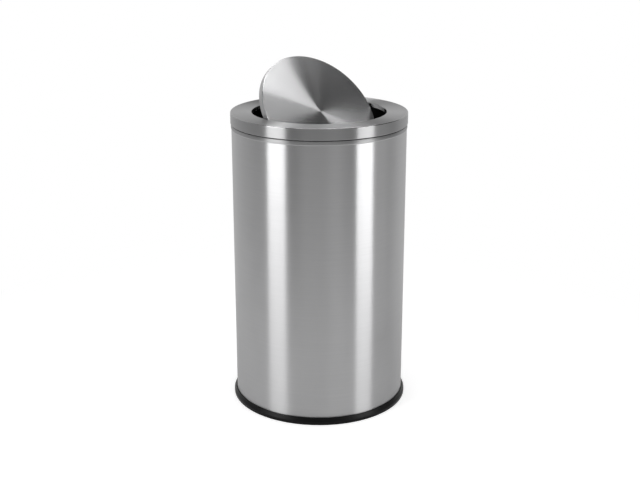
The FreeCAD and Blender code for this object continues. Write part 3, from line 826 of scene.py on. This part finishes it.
@dataclass(frozen=True)
class Lid:
    """Pressed ring with skirt, ledge and lip, the collar welded in it, its seal and the two bushes."""

    opening: float = 144.2
    outer: float = 190.0
    gauge: float = 1.0
    top: float = 646.4
    seat: float = 621.7
    ledge: float = 186.0
    lip_foot: float = 637.4
    ear_foot: float = 635.1
    ear_width: float = 16.0
    ear_flank: float = 0.12
    ear_reach: float = 1.4
    ear_columns: int = 29
    ear_zone: Pair = (0.3, 0.5)
    crown: float = 1.8
    bend: float = 1.6
    collar: Pair = (184.6, 185.6)
    collar_foot: float = 597.7
    collar_flange: float = 188.1
    collar_bend: float = 1.2
    seal: Pair = (186.0, 188.2)
    seal_span: Pair = (620.2, 621.6)
    seal_bulge: float = 0.5
    seal_edge: float = 0.2
    skirt_roughness: float = 0.35
    # painted shade: the skirt's colour is darkened to look dimmer than the ring's other faces
    skirt_painted_shade: float = 0.93
    bend_roughness: float = 0.15

    def section(self) -> Outline:
        """The pressing's section."""
        gauge, inside, back = self.gauge, self.outer - self.gauge, self.opening + self.gauge
        return rounded([
            (self.opening, self.lip_foot, EDGE), (back, self.lip_foot, EDGE),
            (back, self.top - gauge, self.bend - gauge), (inside, self.top - gauge, self.crown - gauge),
            (inside, self.seat + gauge, self.bend - gauge), (self.ledge, self.seat + gauge, EDGE),
            (self.ledge, self.seat, EDGE), (self.outer, self.seat, self.bend),
            (self.outer, self.top, self.crown), (self.opening, self.top, self.bend),
        ])

    def walls(self) -> tuple[Wall, ...]:
        """The skirt, darkened with painted shade, the crown above it, and the lip's upright wall at the end of
        the section.
        """
        outline = self.section()
        run, out = outline.run(), outline.normals[:, 0]
        skirt = np.flatnonzero((out > 0.99) & (outline.points[:, 0] > self.outer - 0.1))
        lip = np.flatnonzero(out > -0.9)[-1] + 1
        foot, top = run[skirt[[0, -1]]]
        # the skirt's wall carries painted shade in its colour
        return (Wall(foot, top, self.skirt_roughness, self.skirt_painted_shade),
                Wall(top, top + self.crown * MM * TURN / 4, self.bend_roughness),
                Wall(run[lip], run[-1], self.bend_roughness))

    def ring(self) -> Skin:
        """The pressing, turned from its section; at the two bushes the lip's foot drops to the ears' depth."""
        outline, ear = self.section(), self.ear_width / 2
        close = self.ear_reach * ear / self.opening
        rest = np.linspace(close, TURN / 2 - close, COLUMNS // 2)[1:-1]
        half = np.hstack([np.linspace(-close, close, self.ear_columns), rest])
        angles = np.hstack([half, half + TURN / 2])
        skin = turned(outline, angles)
        off = np.abs(np.sin(angles)) * self.opening / ear - 1
        drop = (self.lip_foot - self.ear_foot) * np.clip(1 - off / self.ear_flank, 0.0, 1.0)
        (full, none), (radius, height) = self.ear_zone, outline.points.T
        at_foot = np.clip((self.lip_foot + none - height) / (none - full), 0.0, 1.0)
        at_foot = at_foot * (radius < self.opening + 2 * self.gauge)
        points = skin.points.copy()
        points[:, :, 2] -= at_foot[:, None] * drop
        return replace(skin, points=points)

    def collar_ring(self) -> Skin:
        """The locating collar with its welded flange, turned from its section."""
        (low, high), flange = self.collar, self.collar_flange
        under, top = self.seat + self.gauge, self.seat + 2 * self.gauge
        return turned(rounded([
            (low, self.collar_foot, EDGE), (high, self.collar_foot, EDGE), (high, under, EDGE),
            (flange, under, EDGE), (flange, top, EDGE), (low, top, self.collar_bend),
        ]))

    def seal_ring(self) -> Skin:
        """The rubber seal under the ledge, turned from its section, with a bulging outside."""
        (low, high), (foot, top), bulge, edge = self.seal, self.seal_span, self.seal_bulge, self.seal_edge
        return turned(rounded([(low, foot, edge), (high, foot, bulge), (high, top, bulge), (low, top, edge)]))

    def build(self, finishes: Finishes) -> None:
        """Make and dress the pieces that lift off with the lid."""
        make = partial(piece, Body.LID, finishes)
        make("Lid_ring", self.ring(), Slot.LID_STEEL, "lid_ring")
        make("Lid_collar", self.collar_ring(), Slot.PLAIN_STEEL, "lid_collar")
        make("Lid_seal", self.seal_ring(), Slot.SEAL_RUBBER, "lid_seal")
        for side in ("left", "right"):
            dress_node(f"pivot_bush_{side}", finishes[Slot.BUSH_NYLON])


@dataclass(frozen=True)
class Flap:
    """Spun disc with a turned-down rim, its rod, saddles, cap, hangers and counterweight."""

    pivot: float = 640.6
    tilt: float = 49.7
    radius: float = 141.18
    gauge: float = 1.0
    rise: float = 7.1
    depth: float = 14.1
    bend: float = 2.5
    rim_roughness: float = 0.15
    rod_radius: float = 2.0
    rod_ends: Pair = (-155.1, 152.8)
    rod_bend: float = 5.0
    rod_leg: float = 30.0
    end_edge: float = 0.35
    cap_radius: float = 4.3
    cap_neck: float = 3.8
    cap_span: Pair = (150.1, 154.3)
    cap_flare: Pair = (0.9, 1.2)
    cap_depth: float = 0.4
    cap_dome: float = 1.3
    cap_edge: float = 0.2
    saddle_place: float = 105.2
    saddle_width: float = 14.0
    saddle_gauge: float = 1.2
    saddle_edge: float = 0.25
    saddle_foot: float = 14.25
    saddle_play: float = 0.05
    hanger_span: Pair = (45.0, 47.5)
    hanger_half: float = 11.0
    weight_drop: float = 24.0
    weight_radius: float = 12.0
    weight_edge: float = 1.2
    groove_place: float = 8.0
    groove_width: float = 1.0
    groove_depth: float = 0.6
    groove_bend: float = 0.4
    spigot_radius: float = 3.0
    spigot_tip: float = 55.2
    thread_pitch: float = 1.0
    thread_depth: float = 0.45
    taper_length: float = 0.8
    taper_depth: float = 0.35
    nut_span: Pair = (48.7, 53.7)
    nut_flats: float = 10.0
    nut_bore: float = 3.1
    nut_sink: float = 0.6
    nut_cone: float = 30.0
    nut_face: float = 0.97
    nut_cut: float = 0.9

    @property
    def seat(self) -> Seat:
        """The rod's axis as the flap rests: tilted about X at the pivot."""
        angle = math.radians(self.tilt)
        cos, sin = math.cos(angle), math.sin(angle)
        axes = np.array([[1.0, 0.0, 0.0], [0.0, cos, -sin], [0.0, sin, cos]])
        return Seat(axes, np.array([0.0, 0.0, self.pivot]))

    def disc_section(self) -> Outline:
        """The disc's section, from the middle of its underside to the middle of its top."""
        under, foot, inside = self.rise - self.gauge, self.rise - self.depth, self.radius - self.gauge
        return rounded([
            (0.0, under, 0.0), (inside, under, self.bend - self.gauge), (inside, foot, EDGE),
            (self.radius, foot, EDGE), (self.radius, self.rise, self.bend), (0.0, self.rise, 0.0),
        ], loop=False)

    def walls(self) -> tuple[Wall, ...]:
        """The rim's outside."""
        outline = self.disc_section()
        rim = np.flatnonzero(outline.normals[:, 0] > 0.9)
        return (Wall(*outline.run()[rim[[0, -1]]], self.rim_roughness),)

    def rod(self) -> Skin:
        """The pivot rod: a round section carried along X and down the bent end."""
        left, right = self.rod_ends
        path = rounded([(right, 0.0, 0.0), (left, 0.0, self.rod_bend), (left, -self.rod_leg, 0.0)],
                       loop=False, steps=14)
        normals = ways_round(even_turn(40, 0.0))
        return carried(Outline(normals * self.rod_radius, normals, True), path, self.end_edge)

    def cap(self) -> Skin:
        """The push-on cap: a turned thimble with a domed end and a flared mouth."""
        length = self.cap_span[1] - self.cap_span[0]
        flare, neck = self.cap_flare
        return turned(rounded([
            (0.0, self.cap_depth, 0.0), (self.rod_radius, self.cap_depth, self.cap_edge),
            (self.rod_radius, 0.0, EDGE / 2), (self.cap_radius, 0.0, EDGE), (self.cap_radius, flare, EDGE),
            (self.cap_neck, neck, EDGE), (self.cap_neck, length, self.cap_dome), (0.0, length, 0.0),
        ], loop=False), even_turn(48))

    def saddle(self, place: float) -> Skin:
        """One saddle: a flat strap carried round the rod with its two feet against the disc."""
        half, wide, bend = self.saddle_gauge / 2, self.saddle_width / 2, self.saddle_gauge
        level = self.rise - self.gauge - half
        side = self.rod_radius + self.saddle_play + half
        path = rounded([
            (self.saddle_foot, level, 0.0), (side, level, bend), (side, -side, side - HAIR),
            (-side, -side, side - HAIR), (-side, level, bend), (-self.saddle_foot, level, 0.0),
        ], loop=False, steps=10)
        signs = (-1, -1), (1, -1), (1, 1), (-1, 1)
        section = rounded([(x * wide, y * half, EDGE) for x, y in signs], steps=4)
        across = np.array([[0.0, -1.0, 0.0], [1.0, 0.0, 0.0], [0.0, 0.0, 1.0]])
        return Seat(across, np.array([place, 0.0, 0.0])).put(carried(section, path, self.saddle_edge))

    def hanger(self, start: float, end: float) -> Skin:
        """One hanger: a plate outline with a round lower end, carried through its thickness."""
        half, top = self.hanger_half, self.rise - self.gauge
        foot = -self.weight_drop - half
        section = rounded([(half, top, 2 * EDGE), (-half, top, 2 * EDGE), (-half, foot, half - HAIR),
                           (half, foot, half - HAIR)], steps=16)
        path = Outline(np.array([[end, 0.0], [start, 0.0]]), np.array([[0.0, 1.0], [0.0, 1.0]]), False)
        return carried(section, path, self.end_edge)

    def bar(self) -> Skin:
        """The counterweight: a turned bar with rounded ends and a shallow waist groove at each end."""
        end, radius, bend = self.hanger_span[0] - 2 * HAIR, self.weight_radius, self.groove_bend
        groove, wide, waist = end - self.groove_place, self.groove_width, radius - self.groove_depth
        upper = [(radius, groove - 2 * wide, bend), (waist, groove - wide, bend), (waist, groove, bend),
                 (radius, groove + wide, bend), (radius, end, self.weight_edge), (0.0, end, 0.0)]
        lower = [(across, -level, bend) for across, level, bend in reversed(upper)]
        return turned(rounded([*lower, *upper], loop=False, steps=5), even_turn(72))

    def spigot(self) -> Skin:
        """A threaded spigot: r(s, a) = R - d (1 - |2 frac(s / pitch - a / turn) - 1|), tapered at the tip."""
        start, tip = self.hanger_span[0], self.spigot_tip
        along = np.linspace(start, tip, int((tip - start) / self.thread_pitch * 10) + 1)
        angles = even_turn(40, 0.0)
        saw = np.abs(2 * ((along[:, None] / self.thread_pitch - angles / TURN) % 1.0) - 1)
        lead = np.clip((tip - along) / self.taper_length, 0.0, 1.0)[:, None]
        radius = self.spigot_radius - self.thread_depth * (1 - lead * saw) - self.taper_depth * (1 - lead)
        return ribbed(np.pad(radius, ((1, 1), (0, 0))), np.pad(along, 1, mode="edge"), angles, loop=False)

    def nut(self) -> Skin:
        """A nut: the hexagon's radius at each angle, cut by a cone at both faces, with a countersunk bore."""
        (low, high), half, sink = self.nut_span, self.nut_flats / 2, self.nut_sink
        angles = even_turn(96, 0.0)
        corner = half / np.cos((angles + TURN / 12) % (TURN / 6) - TURN / 12)
        depth, slope = np.linspace(0.0, self.nut_cut, 6), math.tan(math.radians(self.nut_cone))
        cone = np.minimum(corner, half * self.nut_face + depth[:, None] / slope)
        bore, face = (np.full((1, len(angles)), self.nut_bore + more) for more in (0.0, sink))
        radius = np.vstack([bore, face, cone, cone[::-1], face, bore])
        level = np.hstack([[low + sink, low], low + depth, high - depth[::-1], [high, high - sink]])
        return ribbed(radius, level, angles, loop=True)

    def build(self, finishes: Finishes) -> None:
        """Make and dress the pieces that swing."""
        make = partial(piece, Body.FLAP, finishes)
        seat, below = self.seat, (0.0, 0.0, -self.weight_drop)
        cap_seat = seat.at(LYING_ON_X, (self.cap_span[0], 0.0, 0.0))
        make("Flap_disc", seat.put(turned(self.disc_section())), Slot.FLAP_STEEL, "flap_disc")
        make("Pivot_rod", seat.put(self.rod()), Slot.ZINC_STEEL, "flap_axle")
        make("Rod_cap", cap_seat.put(self.cap()), Slot.ZINC_STEEL, "axle_cap")
        for side, sign in (("left", -1), ("right", 1)):
            saddle = self.saddle(sign * self.saddle_place)
            hanger = self.hanger(*sorted(sign * end for end in self.hanger_span))
            make(f"Saddle_{side}", seat.put(saddle), Slot.PLAIN_STEEL, f"axle_saddle_{side}")
            make(f"Hanger_{side}", seat.put(hanger), Slot.PLAIN_STEEL, f"weight_hanger_{side}")
            end_seat = seat.at(np.diag([sign, sign, 1.0]) @ LYING_ON_X, below)
            make(f"Spigot_{side}", end_seat.put(self.spigot()), Slot.ZINC_STEEL)
            make(f"Nut_{side}", end_seat.put(self.nut()), Slot.ZINC_STEEL, "weight_nuts")
        make("Counterweight", seat.at(LYING_ON_X, below).put(self.bar()), Slot.WEIGHT_IRON, "counterweight")
        for node in ("axle_washers", "axle_pins", "weight_washers"):
            dress_node(node, finishes[Slot.ZINC_STEEL])


@dataclass(frozen=True)
class SoftBox:
    """A softbox: its direction from the bin, distance, size, brightness, height of its aim, and roll."""

    name: str
    azimuth: float
    elevation: float
    distance: float
    width: float
    height: float
    radiance: float
    aim: float
    roll: float = 0.0


@dataclass(frozen=True)
class RoomZone:
    """A darker or lighter part of the white room: its direction, the cosines where it sets in, its level."""

    azimuth: float
    elevation: float
    edge: float
    full: float
    level: float


@dataclass(frozen=True)
class Studio:
    """Camera, softboxes, white surroundings and pale floor. Azimuths count from the camera, to its right."""

    azimuth: float = -41.1
    distance: float = 2.32406
    height: float = 1.09616
    pitch: float = 17.672
    lens: float = 61.87
    sensor: float = 36.0
    shift: float = 0.00133
    floor_radius: float = 1.32
    floor_level: float = -0.0002
    paper: Paper = Paper("Floor_paper")
    ambient: float = 0.35
    boxes: tuple[SoftBox, ...] = tuple(SoftBox(*row) for row in (
        ("Left_box", -53.9, 13.5, 1.7, 0.740, 1.098, 4.68, 0.40),
        ("Right_box", 57.9, 3.7, 1.7, 0.687, 0.770, 5.01, 0.40),
        ("Top_box", 149.4, 61.1, 1.6, 2.000, 0.271, 2.60, 0.65),
        ("High_box", 109.6, 73.5, 1.6, 0.400, 0.648, 4.30, 0.65),
        ("Front_box", -11.6, 65.5, 1.6, 0.964, 0.732, 1.45, 0.65),
        ("Back_box", -149.4, 53.5, 1.6, 1.000, 0.220, 3.90, 0.65, 25.0),
    ))
    zones: tuple[RoomZone, ...] = tuple(RoomZone(*row) for row in (
        (87.6, 32.7, 0.677, 0.834, 0.092),
        (-20.4, 9.6, -0.350, 0.310, 0.310),
        (178.2, 15.4, 0.107, 1.565, 0.681),
        (180.0, 42.0, 0.920, 0.985, 0.15),
        (180.0, 10.0, 0.850, 0.985, 1.12),
        (80.0, 10.0, 0.866, 0.978, 1.70),
        (-88.0, -5.0, 0.866, 0.978, 1.50),
        (-118.0, -5.0, 0.90, 0.98, 0.75),
        (116.0, -5.0, 0.90, 0.98, 0.83),
        (-36.0, -16.0, 0.955, 0.990, 0.25),
        (38.0, -17.0, 0.970, 0.995, 0.40),
        (30.0, 12.0, 0.900, 0.980, 2.00),
    ))

    def toward(self, azimuth: float, elevation: float) -> Vector:
        """Unit vector from the bin at an azimuth from the camera and an elevation."""
        turn, rise = math.radians(self.azimuth + azimuth), math.radians(elevation)
        return Vector((math.sin(turn) * math.cos(rise), -math.cos(turn) * math.cos(rise), math.sin(rise)))

    def camera(self) -> None:
        """The camera at the photograph's place."""
        data = bpy.data.cameras.new("Camera")
        data.lens, data.sensor_width, data.shift_x = self.lens, self.sensor, self.shift
        made = new_object("Camera", data)
        made.location = self.toward(0.0, 0.0) * self.distance + Vector((0.0, 0.0, self.height))
        made.rotation_euler = (math.radians(90.0 - self.pitch), 0.0, math.radians(self.azimuth))
        bpy.context.scene.camera = made

    def lights(self) -> None:
        """The softboxes, each turned to the bin and hidden from the camera itself."""
        for box in self.boxes:
            data = bpy.data.lights.new(box.name, "AREA")
            data.shape, data.size, data.size_y = "RECTANGLE", box.width, box.height
            data.energy = box.radiance * math.pi * box.width * box.height
            made = new_object(box.name, data)
            aim = Vector((0.0, 0.0, box.aim))
            made.location = aim + self.toward(box.azimuth, box.elevation) * box.distance
            level = (aim - made.location).to_track_quat("-Z", "Y")
            made.rotation_euler = (level @ Quaternion((0.0, 0.0, 1.0), math.radians(box.roll))).to_euler()
            made.visible_camera = False

    def surroundings(self) -> None:
        """A white world, as bright as paper to the camera; gloss also shows the room's darker parts."""
        world = bpy.data.worlds.new("Studio")
        world.use_nodes = True
        bpy.context.scene.world = world
        graph = Graph(world.node_tree)
        world.node_tree.nodes.clear()
        way = graph.add("TexCoord")["Generated"]
        level: Any = 1.0
        for zone in self.zones:
            inputs = {0: way, 1: self.toward(zone.azimuth, zone.elevation)}
            facing = graph.add("VectorMath", inputs, operation="DOT_PRODUCT")["Value"]
            level = graph.math("MULTIPLY", level, graph.span(facing, zone.edge, zone.full, 1.0, zone.level))
        level = graph.math("MINIMUM", level, 1.0)
        level = graph.math("MAXIMUM", level, graph.add("LightPath")["Is Camera Ray"])
        inputs = {"Factor": graph.seen_plainly(), "A": self.ambient, "B": level}
        strength = graph.add("Mix", inputs, data_type="FLOAT")
        light = graph.add("Background", {"Color": WHITE, "Strength": strength["Result"]})
        graph.add("OutputWorld", {"Surface": light[0]})

    def floor(self) -> None:
        """A round pale floor, R (cos a, sin a) at its rim, whose glow makes it white round the shadow."""
        rim = ways_round(even_turn(96)) * self.floor_radius
        mesh = bpy.data.meshes.new("Floor")
        mesh.from_pydata(np.insert(rim, 2, self.floor_level, axis=1).tolist(), [], [list(range(len(rim)))])
        mesh.materials.append(self.paper.build())
        made = new_object("Floor", mesh)

    def build(self) -> None:
        """Set up the studio."""
        self.camera()
        self.lights()
        self.surroundings()
        self.floor()
        bpy.context.scene.view_settings.view_transform = "Standard"


def main() -> None:
    """Build the bin's sub-assemblies and the studio round them."""
    logging.basicConfig(level=logging.INFO, format="%(name)s %(message)s")
    body, lid, flap = BinBody(), Lid(), Flap()
    steels = {
        Slot.BODY_STEEL: BrushedSteel("Body_steel", body.walls()),
        Slot.LID_STEEL: BrushedSteel("Lid_steel", lid.walls(), tone=0.37, roughness=0.34),
        Slot.FLAP_STEEL: BrushedSteel("Flap_steel", flap.walls(), roughness=0.236, lines=1200.0),
    }
    finishes = {slot: finish.build() for slot, finish in (steels | FITTINGS).items()}
    for assembly in (body, lid, flap):
        assembly.build(finishes)
    Studio().build()


if __name__ == "__main__":
    main()
